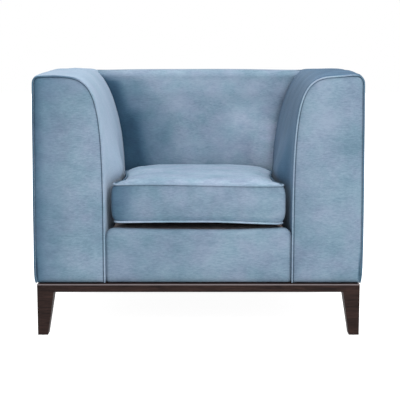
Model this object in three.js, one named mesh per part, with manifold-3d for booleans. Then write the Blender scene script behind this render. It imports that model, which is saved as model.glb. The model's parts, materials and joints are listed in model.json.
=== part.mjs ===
// An upholstered club armchair with a loose box cushion, in millimetres, +Z up, facing -Y.
// The origin is on the floor, under the middle of the chair. Left is -X and right is +X.
import * as THREE from "three";
import { mergeVertices } from "three/addons/utils/BufferGeometryUtils.js";
import Module from "manifold-3d";

const wasm = await Module();
wasm.setup();

// Driving dimensions
const GAP = 0.3; // left between pieces that touch
const HALF_WIDTH = 484; // outside arm panels
const FRONT = -420; // face of the padded arm fronts
const REAR = 425; // face of the outside back
const GLIDE = { height: 1.5, radius: 11 };
const PLINTH = { bottom: 132, top: 155, front: -425, rear: 417, halfWidth: 476.5, depth: 40 };
const LEG = { top: 49, foot: 30 };
const BOLT = { radius: 4, inset: 27, low: 98, high: 190 }; // holds a leg to its block, up through the plinth
const LEG_BLOCK = { inset: 8, reach: 68, outward: 10, inward: 48, top: 196 };
const COVER_BOTTOM = 155.5; // lower edge of the upholstery
const ARM_TOP = 766;
const CORNER = 12; // radius of an arm's outer top edge
const PIPING = 3.5; // radius of the arm piping
const PAD = 22; // thickness of the arm padding
const PAD_BOTTOM = 296;
const RAIL = { bottom: 162, top: 262, thickness: 25, frontHalfWidth: 357.5 };
const RAIL_COVER = { front: -410, top: 319.5, halfWidth: 274.5 };
const BACK = { front: 200, rear: 380, top: 768, bend: 416, lean: 0.235, shoulder: 743 };
const CUSHION = {
  front: -397,
  depth: 578,
  halfWidth: 250.5,
  height: 138,
  base: 322,
  pitch: THREE.MathUtils.degToRad(2.5),
  wall: 3,
  corner: 14,
  piping: 4,
};

// Inner outline of an arm, seen from the front: a plumb inner face from the seat up to "spring", then a
// long curve that lands on the flat top at "land". rise and run are the curve's handles.
const ARM_FRONT = { inner: 276.5, spring: 352, rise: 345, run: 106, land: 398, top: ARM_TOP + 2 };
const ARM_NEAR = { inner: 275.5, spring: 353, rise: 325, run: 105, land: 397, top: ARM_TOP + 4 };
const ARM_MIDDLE = { inner: 263, spring: 366, rise: 240, run: 80, land: 392, top: ARM_TOP + 6 };
const ARM_REAR = { inner: 267, spring: 362, rise: 231, run: 63, land: 397, top: ARM_TOP + 3 };

const velvet = new THREE.MeshStandardMaterial({ color: 0x7d98b2, roughness: 0.8, metalness: 0 });
const piping = new THREE.MeshStandardMaterial({ color: 0x86a2bd, roughness: 0.75, metalness: 0 });
const darkWood = new THREE.MeshStandardMaterial({ color: 0x3a2a27, roughness: 0.45, metalness: 0 });
const frameWood = new THREE.MeshStandardMaterial({ color: 0xc9a878, roughness: 0.8, metalness: 0 });
const steel = new THREE.MeshStandardMaterial({ color: 0x9a9ea3, roughness: 0.35, metalness: 1 });
const webbing = new THREE.MeshStandardMaterial({ color: 0x2b2b2d, roughness: 0.9, metalness: 0 });
const foam = new THREE.MeshStandardMaterial({ color: 0xe6dcc0, roughness: 0.95, metalness: 0 });
const plastic = new THREE.MeshStandardMaterial({ color: 0x18181a, roughness: 0.5, metalness: 0 });

const chair = new THREE.Group();
const seatCushion = new THREE.Group();
seatCushion.position.set(0, CUSHION.front, CUSHION.base);
seatCushion.rotation.x = -CUSHION.pitch;
chair.add(seatCushion);

function add(name, geometry, material, group = chair) {
  const mesh = new THREE.Mesh(geometry, material);
  mesh.name = name;
  group.add(mesh);
}

// Shape helpers

function block(x0, x1, y0, y1, z0, z1) {
  const geometry = new THREE.BoxGeometry(x1 - x0, y1 - y0, z1 - z0);
  return geometry.translate((x0 + x1) / 2, (y0 + y1) / 2, (z0 + z1) / 2);
}

// Two places in rising order.
function between(a, b) {
  return [Math.min(a, b), Math.max(a, b)];
}

function postAt(radius, x, y, z0, z1, segments = 16) {
  const geometry = new THREE.CylinderGeometry(radius, radius, z1 - z0, segments);
  return geometry.rotateX(Math.PI / 2).translate(x, y, (z0 + z1) / 2);
}

// The volume under a closed surface, negative where its faces point inwards.
function signedVolume(geometry) {
  const position = geometry.getAttribute("position");
  const [a, b, c] = [new THREE.Vector3(), new THREE.Vector3(), new THREE.Vector3()];
  let volume = 0;
  for (let i = 0; i < geometry.index.count; i += 3) {
    a.fromBufferAttribute(position, geometry.index.getX(i));
    b.fromBufferAttribute(position, geometry.index.getX(i + 1));
    c.fromBufferAttribute(position, geometry.index.getX(i + 2));
    volume += a.dot(b.cross(c)) / 6;
  }
  return volume;
}

// A solid through a row of closed outlines, each a list of Vector3 with as many points as the others.
// outlineOf gives an outline's points in its own plane, to close the two ends.
function loft(outlines, outlineOf) {
  const size = outlines[0].length;
  const positions = outlines.flat().flatMap((p) => [p.x, p.y, p.z]);
  const index = [];
  for (let k = 0; k + 1 < outlines.length; k++)
    for (let i = 0; i < size; i++) {
      const [a, b] = [k * size + i, k * size + ((i + 1) % size)];
      index.push(a, b, b + size, a, b + size, a + size);
    }
  const cap = (outline, first, isLast) => {
    const flat = outline.map(outlineOf);
    const flip = THREE.ShapeUtils.isClockWise(flat) === isLast;
    for (const [a, b, c] of THREE.ShapeUtils.triangulateShape(flat, []))
      index.push(first + a, first + (flip ? c : b), first + (flip ? b : c));
  };
  cap(outlines[0], 0, false);
  cap(outlines[outlines.length - 1], (outlines.length - 1) * size, true);
  const geometry = new THREE.BufferGeometry();
  geometry.setAttribute("position", new THREE.Float32BufferAttribute(positions, 3));
  geometry.setIndex(index);
  if (signedVolume(geometry) < 0) geometry.index.array.reverse();
  return geometry;
}

const UP = new THREE.Vector3(0, 0, 1);
const alongY = (p) => new THREE.Vector2(p.x, p.z);
const alongZ = (p) => new THREE.Vector2(p.x, p.y);

function solidOf(geometry) {
  const bare = geometry.clone();
  bare.deleteAttribute("normal");
  bare.deleteAttribute("uv");
  const merged = mergeVertices(bare, 1e-3);
  const vertProperties = merged.attributes.position.array;
  return new wasm.Manifold(
    new wasm.Mesh({ numProp: 3, vertProperties, triVerts: new Uint32Array(merged.index.array) }),
  );
}

// The first geometry with the others cut out of it.
function cut(geometry, ...tools) {
  const result = tools.reduce((solid, tool) => solid.subtract(solidOf(tool)), solidOf(geometry));
  const mesh = result.getMesh();
  const made = new THREE.BufferGeometry();
  made.setAttribute("position", new THREE.BufferAttribute(new Float32Array(mesh.vertProperties), 3));
  made.setIndex(new THREE.BufferAttribute(mesh.triVerts, 1));
  return made;
}

// A round tube along points that lie close to a plane, given by its normal. It is capped at both ends.
function tube(points, normal, radius, sides) {
  const outlines = points.map((p, i) => {
    const before = points[Math.max(i - 1, 0)];
    const after = points[Math.min(i + 1, points.length - 1)];
    const arriving = p.clone().sub(before).normalize();
    const leaving = after.clone().sub(p).normalize();
    const along = arriving.add(leaving).normalize();
    const across = new THREE.Vector3().crossVectors(along, normal).normalize();
    const up = new THREE.Vector3().crossVectors(across, along);
    return Array.from({ length: sides }, (_, k) => {
      const angle = (2 * Math.PI * (k + 0.5)) / sides;
      const out = across.clone().multiplyScalar(radius * Math.cos(angle));
      return p.clone().add(out).addScaledVector(up, radius * Math.sin(angle));
    });
  });
  const flat = (p) => {
    const spun = p.clone().sub(points[0]);
    const along = points[1].clone().sub(points[0]).normalize();
    const across = new THREE.Vector3().crossVectors(along, normal).normalize();
    return new THREE.Vector2(spun.dot(across), spun.dot(new THREE.Vector3().crossVectors(across, along)));
  };
  return loft(outlines, flat);
}

// A run of points moved sideways, to the right of the way it goes.
function offset(points, distance) {
  return points.map((p, i) => {
    const before = points[Math.max(i - 1, 0)];
    const after = points[Math.min(i + 1, points.length - 1)];
    const a = p.clone().sub(before).normalize();
    const b = after.clone().sub(p).normalize();
    const along = a.add(b).normalize();
    const bend = Math.max(0.6, Math.abs(along.dot(i + 1 < points.length ? b : along)));
    return new THREE.Vector2(p.x + (along.y * distance) / bend, p.y - (along.x * distance) / bend);
  });
}

// An arm's outline from the front: up the inner face from low, over the curve and the flat top, and down
// the outer face to end.
function armOutline(profile, low, end, corner = CORNER) {
  const { inner, spring, rise, run, land, top } = profile;
  const curve = new THREE.CubicBezierCurve(
    new THREE.Vector2(inner, spring),
    new THREE.Vector2(inner, spring + rise),
    new THREE.Vector2(land - run, top),
    new THREE.Vector2(land, top),
  );
  const outer = HALF_WIDTH - GAP;
  const turn = [0, 1, 2, 3].map((i) => {
    const angle = Math.PI / 2 - (i * Math.PI) / 6;
    const [x, z] = [outer - corner, top - corner];
    return new THREE.Vector2(x + corner * Math.cos(angle), z + corner * Math.sin(angle));
  });
  return [new THREE.Vector2(inner, low), ...curve.getPoints(12), ...turn, new THREE.Vector2(outer, end)];
}

// How far the arm's inner face stands from the middle of the chair at a height.
function innerFaceAt(profile, height) {
  const line = armOutline(profile, 0, 0);
  const above = line.findIndex((p) => p.y >= height);
  if (above < 1) return profile.land;
  const [a, b] = [line[above - 1], line[above]];
  return THREE.MathUtils.mapLinear(height, a.y, b.y, a.x, b.x);
}

const sides = [
  { name: "left", side: -1 },
  { name: "right", side: 1 },
];
const ends = [
  { name: "front", end: -1 },
  { name: "rear", end: 1 },
];

// Legs, glides, bolts and leg blocks

function leg(side, end) {
  const foot = LEG.foot;
  const outerX = side * PLINTH.halfWidth;
  const outerY = end < 0 ? PLINTH.front : PLINTH.rear;
  const square = (size, z) => {
    const [x, y] = [outerX - side * size, outerY - end * size];
    const corners = [
      [outerX, outerY],
      [x, outerY],
      [x, y],
      [outerX, y],
    ];
    return corners.map(([cx, cy]) => new THREE.Vector3(cx, cy, z));
  };
  const top = PLINTH.bottom - GAP;
  return loft([square(foot, GLIDE.height + GAP), square(LEG.top, top)], alongZ);
}

function underCorner(side, end, inset) {
  const y = end < 0 ? PLINTH.front : PLINTH.rear;
  return [side * (PLINTH.halfWidth - inset), y - end * inset];
}

const boltHoles = [];
for (const { name: sideName, side } of sides)
  for (const { name: endName, end } of ends) {
    const place = endName + "_" + sideName;
    const [footX, footY] = underCorner(side, end, LEG.foot / 2);
    const [boltX, boltY] = underCorner(side, end, BOLT.inset);
    const hole = postAt(BOLT.radius + GAP, boltX, boltY, BOLT.low, BOLT.high);
    boltHoles.push(hole);
    add("leg_" + place, cut(leg(side, end), hole), darkWood);
    add("glide_" + place, postAt(GLIDE.radius, footX, footY, 0, GLIDE.height, 24), plastic);
    add("leg_bolt_" + place, postAt(BOLT.radius, boltX, boltY, BOLT.low + 1, BOLT.high - 1), steel);
    const [innerX, outerX] = [PLINTH.halfWidth - LEG_BLOCK.reach, PLINTH.halfWidth - LEG_BLOCK.inset];
    const blockX = between(side * innerX, side * outerX);
    const blockY = between(boltY + end * LEG_BLOCK.outward, boltY - end * LEG_BLOCK.inward);
    const blockShape = block(...blockX, ...blockY, PLINTH.top + 2, LEG_BLOCK.top);
    add("leg_block_" + place, cut(blockShape, hole), frameWood);
  }

// Plinth: front and rear rails run the full width, and the side rails fit between them

for (const { name, end } of ends) {
  const outer = end < 0 ? PLINTH.front : PLINTH.rear;
  const y = between(outer, outer - end * PLINTH.depth);
  const rail = block(-PLINTH.halfWidth, PLINTH.halfWidth, ...y, PLINTH.bottom, PLINTH.top);
  add("plinth_" + name, cut(rail, ...boltHoles), darkWood);
}
for (const { name, side } of sides) {
  const x = between(side * PLINTH.halfWidth, side * (PLINTH.halfWidth - PLINTH.depth));
  const y = [PLINTH.front + PLINTH.depth + GAP, PLINTH.rear - PLINTH.depth - GAP];
  const rail = block(...x, ...y, PLINTH.bottom, PLINTH.top);
  add("plinth_" + name, cut(rail, ...boltHoles), darkWood);
}

// Timber frame

const POST = { inner: 384, outer: 434, depth: 50, bottom: 196.4, top: 714 };
const FRAME_FRONT = -392; // front faces of the arm posts
const FRAME_REAR = 410; // rear faces of the back rails
const BACK_RAIL_FRONT = 384;
const ARM_TOP_RAIL = { inner: 392, outer: 460, top: 738 };
const backRail = (x, low, high, clearance = 0) =>
  block(
    -x - clearance,
    x + clearance,
    BACK_RAIL_FRONT - clearance,
    FRAME_REAR + clearance,
    low - clearance,
    high + clearance,
  );
const backRails = { back_top_rail: [700, 740], back_lower_rail: [330, 380] };
const railReach = POST.inner - 1;
for (const [name, [low, high]] of Object.entries(backRails))
  add(name, backRail(railReach, low, high), frameWood);
add("seat_rail_rear", backRail(railReach, RAIL.bottom, RAIL.top), frameWood);
const frontRail = [FRAME_FRONT - 0.5, FRAME_FRONT - 0.5 + RAIL.thickness, RAIL.bottom, RAIL.top];
add("seat_rail_front", block(-RAIL.frontHalfWidth, RAIL.frontHalfWidth, ...frontRail), frameWood);
for (const { name, side } of sides) {
  const post = between(side * POST.inner, side * POST.outer);
  const sideRail = between(side * (railReach - RAIL.thickness), side * railReach);
  const sideRailRear = BACK_RAIL_FRONT - 1;
  const rearPost = [FRAME_REAR - POST.depth, FRAME_REAR];
  const frontPost = [FRAME_FRONT, FRAME_FRONT + POST.depth];
  add("seat_rail_" + name, block(...sideRail, FRAME_FRONT, sideRailRear, RAIL.bottom, RAIL.top), frameWood);
  add("arm_post_front_" + name, block(...post, ...frontPost, POST.bottom, POST.top), frameWood);
  add("arm_post_rear_" + name, block(...post, ...rearPost, POST.bottom, POST.top), frameWood);
  const topRailX = between(side * ARM_TOP_RAIL.inner, side * ARM_TOP_RAIL.outer);
  const topRail = block(...topRailX, FRAME_FRONT, FRAME_REAR, POST.top + GAP, ARM_TOP_RAIL.top);
  add("arm_top_rail_" + name, topRail, frameWood);
}

// Springs and webbing

const SPRING = {
  count: 4,
  spacing: 120,
  turns: 15,
  swing: 26,
  front: -388,
  rear: 405,
  height: 264.6,
  arch: 9,
  wire: 2,
};
for (let k = 0; k < SPRING.count; k++) {
  const x = (k - (SPRING.count - 1) / 2) * SPRING.spacing;
  const points = [];
  for (let i = 0; i <= 2 * SPRING.turns; i++) {
    const along = i / (2 * SPRING.turns);
    const swing = SPRING.swing * Math.sin((i * Math.PI) / 2);
    const arch = SPRING.arch * Math.sin(Math.PI * along);
    const y = THREE.MathUtils.lerp(SPRING.front, SPRING.rear, along);
    points.push(new THREE.Vector3(x + swing, y, SPRING.height + arch));
  }
  add("seat_spring_" + (k + 1), tube(points, UP, SPRING.wire, 5), steel);
}
const WEB = { spacing: 140, halfWidth: 25, thickness: 2, low: 335, high: 738 };
for (const k of [-1, 0, 1]) {
  const x = between(k * WEB.spacing - WEB.halfWidth, k * WEB.spacing + WEB.halfWidth);
  const y = [BACK.rear + GAP, BACK.rear + GAP + WEB.thickness];
  add("back_web_" + (k + 2), block(...x, ...y, WEB.low, WEB.high), webbing);
}
const DUST_COVER = { halfWidth: 472, front: -391, rear: 415, thickness: 1.2 };
const dustCoverZ = [PLINTH.top + GAP, PLINTH.top + GAP + DUST_COVER.thickness];
const dustCoverY = [DUST_COVER.front, DUST_COVER.rear];
const dustCover = block(-DUST_COVER.halfWidth, DUST_COVER.halfWidth, ...dustCoverY, ...dustCoverZ);
add("dust_cover", cut(dustCover, ...boltHoles), webbing);

// Seat platform: the deck pad slopes back under the cushion, behind the padded front rail

function profiled(points, x0, x1) {
  const outline = (x) => points.map(([y, z]) => new THREE.Vector3(x, y, z));
  return loft([outline(x0), outline(x1)], (p) => new THREE.Vector2(p.y, p.z));
}

const DECK = { front: -371, rear: 188, bottom: 280, fall: 24, halfWidth: 256 };
const railFace = RAIL_COVER.front;
const railBack = FRAME_FRONT - 1;
const frontRailSection = [
  [railFace, COVER_BOTTOM],
  [railBack, COVER_BOTTOM],
  [railBack, 272],
  [DECK.front - 1, 272],
  [DECK.front - 1, RAIL_COVER.top - 1],
  [-396, RAIL_COVER.top],
  [-404, 317],
  [railFace, 309],
];
const coverWidth = RAIL_COVER.halfWidth;
add("front_rail_cover", profiled(frontRailSection, -coverWidth, coverWidth), velvet);
const deckTop = RAIL_COVER.top - 1.5;
const deckSection = [
  [DECK.front, DECK.bottom],
  [DECK.rear, DECK.bottom],
  [DECK.rear, deckTop - DECK.fall],
  [DECK.front, deckTop],
];
add("seat_deck", profiled(deckSection, -DECK.halfWidth, DECK.halfWidth), webbing);

// Arms

const PAD_Y = { front: -408, near: -370, middle: -250, full: 0, back: BACK.front - 10, rear: REAR - 7 };
const PIPING_Y = -412;
const FACING_REAR = -409.5;
const BOARD = { front: -405, rear: -393, bottom: 197 };
const OUTSIDE_THICKNESS = 6;
for (const { name, side } of sides) {
  const at = (y) => (p) => new THREE.Vector3(side * p.x, y, p.y);
  const padSection = (profile, y) => {
    const outer = armOutline(profile, PAD_BOTTOM, profile.top - PAD);
    const inner = offset(outer.slice(0, -4), PAD);
    inner[0].y = PAD_BOTTOM;
    return [...outer, ...inner.reverse()].map(at(y));
  };
  const pad = [
    padSection(ARM_FRONT, PAD_Y.front),
    padSection(ARM_NEAR, PAD_Y.near),
    padSection(ARM_MIDDLE, PAD_Y.middle),
    padSection(ARM_MIDDLE, PAD_Y.full),
    padSection(ARM_REAR, PAD_Y.back),
    padSection(ARM_REAR, PAD_Y.rear),
  ];
  const notches = Object.values(backRails).map(([low, high]) => backRail(railReach, low, high, GAP));
  add("arm_pad_" + name, cut(loft(pad, alongY), ...notches), velvet);

  const plate = (inset, y0, y1, low) => {
    const outline = armOutline(ARM_FRONT, COVER_BOTTOM, COVER_BOTTOM, CORNER + inset);
    const edge = offset(outline, inset);
    edge[0].y = low;
    edge[edge.length - 1].y = low;
    return loft([edge.map(at(y0)), edge.map(at(y1))], alongY);
  };
  const outline = armOutline(ARM_FRONT, COVER_BOTTOM, COVER_BOTTOM);
  const pipingLine = offset(outline, PIPING + 0.2).map(at(PIPING_Y));
  add("arm_front_" + name, plate(2 * PIPING + 0.6, FRONT, FACING_REAR, COVER_BOTTOM), velvet);
  add("arm_piping_" + name, tube(pipingLine, new THREE.Vector3(0, 1, 0), PIPING, 6), piping);
  add("arm_facing_board_" + name, plate(PAD + 3, BOARD.front, BOARD.rear, BOARD.bottom), frameWood);
  const panelX = between(side * (HALF_WIDTH - OUTSIDE_THICKNESS), side * HALF_WIDTH);
  const panelTop = ARM_FRONT.top - PAD - 2;
  add("arm_outside_" + name, block(...panelX, PAD_Y.front, PAD_Y.rear, COVER_BOTTOM, panelTop), velvet);
}

// Back: a pad that fills the space between the arms, leans back as it rises, and rolls over the top rail

function backLevel(z, front, rear) {
  const x = innerFaceAt(ARM_REAR, Math.min(z, BACK.top - 1)) - 3;
  const corners = [
    [-x, rear],
    [-x, front],
    [x, front],
    [x, rear],
  ];
  return corners.map(([cx, cy]) => new THREE.Vector3(cx, cy, z));
}
const backFront = (z) => BACK.front + Math.max(0, z - BACK.bend) * BACK.lean;
const backSteps = [460, 500, 540, 580, 620, 660, 690, 710, 725, 735, 742];
const backLevels = [PAD_BOTTOM, ARM_REAR.spring, BACK.bend, ...backSteps];
const backOutlines = backLevels.map((z) => backLevel(z, backFront(z), BACK.rear));
const shoulderFront = backFront(BACK.shoulder);
for (const z of [BACK.shoulder, 750, 756, 761, 765])
  backOutlines.push(backLevel(z, shoulderFront + (z - BACK.shoulder) / 4, PAD_Y.rear));
backOutlines.push(backLevel(BACK.top, shoulderFront + 14, PAD_Y.rear - 5));
add("back_pad", loft(backOutlines, alongZ), velvet);
const outsideBackY = [REAR - OUTSIDE_THICKNESS, REAR];
add("outside_back", block(-HALF_WIDTH, HALF_WIDTH, ...outsideBackY, COVER_BOTTOM, ARM_TOP - 4), velvet);

// Seat cushion, in a frame of its own: y runs back from its front face and z up from its underside

function roundedLevel(inset, z) {
  const half = CUSHION.halfWidth - inset;
  const radius = CUSHION.corner - Math.min(inset, 0);
  const corners = [
    [half - radius, inset + radius, -90],
    [half - radius, CUSHION.depth - inset - radius, 0],
    [-half + radius, CUSHION.depth - inset - radius, 90],
    [-half + radius, inset + radius, 180],
  ];
  return corners.flatMap(([x, y, start]) =>
    [0, 30, 60, 90].map((turn) => {
      const angle = THREE.MathUtils.degToRad(start + turn);
      return new THREE.Vector3(x + radius * Math.cos(angle), y + radius * Math.sin(angle), z);
    }),
  );
}

function cushionSolid(inset) {
  const levels = [
    [4, 0],
    [0, 6],
    [0, 120],
    [8, 127],
    [40, 133],
    [95, 137],
    [150, CUSHION.height],
  ];
  const middle = CUSHION.height / 2;
  const shrink = (z) => middle + (z - middle) * (1 - inset / middle);
  return loft(
    levels.map(([pullIn, z]) => roundedLevel(pullIn + inset, shrink(z))),
    alongZ,
  );
}

const ZIP = {
  halfLength: 215,
  height: 62,
  slot: 3,
  tapeHeight: 24,
  tapeThickness: 1.2,
  tapeEnd: 8,
  sliderLength: 9,
  sliderHeight: 7,
  sliderDepth: 3.2,
};
const cushionRear = CUSHION.depth;
const zipSlot = block(
  -ZIP.halfLength,
  ZIP.halfLength,
  cushionRear - 8,
  cushionRear + 2,
  ZIP.height - ZIP.slot,
  ZIP.height + ZIP.slot,
);
const cover = cut(cushionSolid(0), cushionSolid(CUSHION.wall), zipSlot);
add("cushion_cover", cover, velvet, seatCushion);
add("cushion_core", cushionSolid(CUSHION.wall + 0.6), foam, seatCushion);
const tapeRear = cushionRear + GAP + ZIP.tapeThickness;
const tape = block(
  -ZIP.halfLength - ZIP.tapeEnd,
  ZIP.halfLength + ZIP.tapeEnd,
  cushionRear + GAP,
  tapeRear,
  ZIP.height - ZIP.tapeHeight / 2,
  ZIP.height + ZIP.tapeHeight / 2,
);
add("zip_tape", tape, webbing, seatCushion);
const slider = block(
  -ZIP.halfLength,
  -ZIP.halfLength + ZIP.sliderLength,
  tapeRear + GAP,
  tapeRear + ZIP.sliderDepth,
  ZIP.height - ZIP.sliderHeight,
  ZIP.height + ZIP.sliderHeight,
);
add("zip_slider", slider, steel, seatCushion);

// Piping round the cushion's top and bottom edges. Its two ends meet in the middle of the rear edge.
for (const [name, z] of [
  ["cushion_piping_bottom", 12],
  ["cushion_piping_top", 120],
]) {
  const ring = roundedLevel(-CUSHION.piping - 0.4, z);
  const rear = ring[7].y;
  const [seam, straight] = [0.4, 60];
  const start = [new THREE.Vector3(-seam, rear, z), new THREE.Vector3(-straight, rear, z)];
  const end = [new THREE.Vector3(straight, rear, z), new THREE.Vector3(seam, rear, z)];
  const route = [...start, ...ring.slice(8), ...ring.slice(0, 8), ...end];
  add(name, tube(route, UP, CUSHION.piping, 6), piping, seatCushion);
}

export default chair;
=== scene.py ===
import json
import math

import bmesh
import bpy
import numpy as np
from mathutils import Euler, Matrix, Vector, noise


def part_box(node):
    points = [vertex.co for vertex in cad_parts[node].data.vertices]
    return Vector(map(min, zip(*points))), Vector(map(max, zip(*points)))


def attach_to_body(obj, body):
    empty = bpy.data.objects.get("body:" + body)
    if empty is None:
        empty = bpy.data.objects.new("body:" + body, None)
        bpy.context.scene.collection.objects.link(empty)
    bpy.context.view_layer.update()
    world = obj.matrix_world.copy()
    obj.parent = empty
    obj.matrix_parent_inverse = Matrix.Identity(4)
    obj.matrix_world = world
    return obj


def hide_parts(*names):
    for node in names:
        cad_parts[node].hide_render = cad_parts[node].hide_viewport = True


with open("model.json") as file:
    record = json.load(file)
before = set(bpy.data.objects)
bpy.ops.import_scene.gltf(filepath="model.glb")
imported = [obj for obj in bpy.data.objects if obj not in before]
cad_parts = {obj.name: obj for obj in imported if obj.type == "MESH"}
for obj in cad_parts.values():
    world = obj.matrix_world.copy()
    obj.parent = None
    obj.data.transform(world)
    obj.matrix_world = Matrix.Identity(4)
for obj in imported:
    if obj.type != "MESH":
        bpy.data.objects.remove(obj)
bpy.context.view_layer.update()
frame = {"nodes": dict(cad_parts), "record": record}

SCENE = bpy.context.scene

# --- Measures taken from the frame ---

FLOOR = 0.0
rail_low, rail_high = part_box("front_rail_cover")
deck_low, deck_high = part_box("seat_deck")
pad_low, pad_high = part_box("arm_pad_right")
facing_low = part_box("arm_front_right")[0]
outside_low, outside_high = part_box("arm_outside_right")
back_low, back_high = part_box("back_pad")
outback_low, outback_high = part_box("outside_back")
plinth_low, plinth_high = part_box("plinth_front")
plinth_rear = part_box("plinth_rear")[1].y

HALF_WIDTH = outside_high.x
COVER_BOTTOM = facing_low.z

# An arm's outline, seen from the front, at places from front to rear: y, the inner face's x, the height
# where its curve springs, the curve's two handles, where it lands on the flat top, and the top's height.
# All sizes are in metres.
ARM_STATIONS = [
    (pad_low.y, 0.2753, 0.350, 0.360, 0.106, 0.3995, 0.7690),
    (-0.385, 0.2738, 0.351, 0.345, 0.105, 0.3980, 0.7715),
    (-0.340, 0.2690, 0.354, 0.310, 0.100, 0.3950, 0.7725),
    (-0.250, 0.2622, 0.359, 0.265, 0.090, 0.3945, 0.7740),
    (0.000, 0.2630, 0.360, 0.240, 0.078, 0.398, 0.7745),
    (back_low.y - 0.010, 0.2670, 0.360, 0.234, 0.064, 0.3985, 0.7695),
    (0.390, 0.2670, 0.360, 0.231, 0.064, 0.402, 0.7645),
    (pad_high.y, 0.2680, 0.360, 0.230, 0.064, 0.403, 0.7630),
]
CORNER = 0.0145  # radius of an arm's outer top edge
CUSHION_FRONT = -0.397  # the middle of the cushion's front edge
# How far the outside of each arm stands out or leans in at each height, and its crown along its length.
LEAN_ABOVE = (
    (0.270, 0.0029), (0.342, 0.0027), (0.415, 0.0022), (0.490, 0.0010), (0.567, 0.0002), (0.640, -0.0004),
    (0.715, -0.0017), (0.765, -0.0023),
)
LEAN = {
    -1: ((0.1555, -0.0010), (0.163, 0.0014), (0.180, 0.0032), (0.205, 0.0036), *LEAN_ABOVE),
    1: ((0.1555, -0.0028), (0.163, -0.0008), (0.180, 0.0012), (0.205, 0.0023), *LEAN_ABOVE),
}
CROWN = {
    -1: ((-0.36, -0.0016), (-0.26, 0.0004), (-0.10, 0.0040), (0.10, 0.0036), (0.42, -0.0015)),
    1: ((-0.36, 0.0020), (-0.20, 0.0052), (0.00, 0.0042), (0.13, 0.0008), (0.28, -0.0030), (0.42, -0.0038)),
}
# How far the top of each arm's front rises or falls from its outline, at each distance from the middle.
FRONT_CROWN = {
    -1: ((0.385, 0.0), (0.415, 0.0018), (0.450, 0.0010), (0.484, -0.0010)),
    1: ((0.395, 0.0), (0.420, 0.0018), (0.447, 0.0045), (0.466, 0.0032), (0.484, -0.0030)),
}
ARM_FRONT = ARM_STATIONS[0][1:]
ARM_AT_BACK = ARM_STATIONS[5][1:]
WELT = 0.0025  # radius of the piping on the arms
WELT_Y = -0.4125  # the plane that it runs in
FACING_INSET = 0.0042  # from an arm's outline to the edge of its padded front
FACING_Y = -0.4100  # the padded front's edge, behind its piping
FACING_SWELL = 0.0105  # how far its padding stands out between the piping
EDGE_ROUND = 0.0035  # how far a panel pulled over board falls away at its edges
EDGE_WIDTH = 0.007
# Thickness of each skin.
COVER_SKIN = 0.014
FACING_SKIN = 0.006
PANEL_SKIN = 0.004
RAIL_SKIN = 0.009
DECK_SKIN = 0.012
CLOTH_SKIN = 0.0012

# --- Mesh helpers ---


def rng_noise(points, scale, seed):
    """Smooth noise from -1 to 1 at each point, with features about scale metres across."""
    shift = Vector((seed * 7.31, seed * 3.17, seed * 5.77))
    return np.array([noise.noise(Vector(p) / scale + shift) for p in points])


def new_mesh(name, points, faces):
    mesh = bpy.data.meshes.new(name)
    mesh.from_pydata([tuple(p) for p in points], [], [tuple(int(i) for i in f) for f in faces])
    mesh.update()
    piece = bpy.data.objects.new(name, mesh)
    SCENE.collection.objects.link(piece)
    mesh.shade_smooth()
    return piece


def normals_of(grid):
    """Unit normals of a grid of points, by central differences."""
    along = np.gradient(grid, axis=0)
    across = np.gradient(grid, axis=1)
    n = np.cross(along, across)
    length = np.linalg.norm(n, axis=2, keepdims=True)
    return n / np.maximum(length, 1e-12)


def grid_faces(rows, columns, start=0, flip=False):
    faces = []
    for i in range(rows - 1):
        for j in range(columns - 1):
            a = start + i * columns + j
            quad = (a, a + 1, a + columns + 1, a + columns)
            faces.append(quad[::-1] if flip else quad)
    return faces


def shell(name, grid, thickness, outward):
    """A closed skin of some thickness under a grid of points, which is its outer face. outward is a
    direction that the outer face looks towards."""
    rows, columns = grid.shape[:2]
    n = normals_of(grid)
    if float((n * np.array(outward)).sum()) < 0:
        grid = grid[:, ::-1]
        n = normals_of(grid)
    inner = grid - n * thickness
    points = np.concatenate([grid.reshape(-1, 3), inner.reshape(-1, 3)])
    count = rows * columns
    faces = grid_faces(rows, columns) + grid_faces(rows, columns, count, flip=True)
    edge = list(range(columns))
    edge += [i * columns + columns - 1 for i in range(1, rows)]
    edge += [(rows - 1) * columns + j for j in range(columns - 2, -1, -1)]
    edge += [i * columns for i in range(rows - 2, 0, -1)]
    for a, b in zip(edge, edge[1:] + edge[:1]):
        faces.append((a, a + count, b + count, b))
    piece = new_mesh(name, points, faces)
    face_outward(piece)
    subdivide(piece)
    return piece


def face_outward(piece):
    work = bmesh.new()
    work.from_mesh(piece.data)
    bmesh.ops.recalc_face_normals(work, faces=work.faces)
    if work.calc_volume(signed=True) < 0:
        bmesh.ops.reverse_faces(work, faces=work.faces)
    work.to_mesh(piece.data)
    work.free()
    piece.data.shade_smooth()


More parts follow.
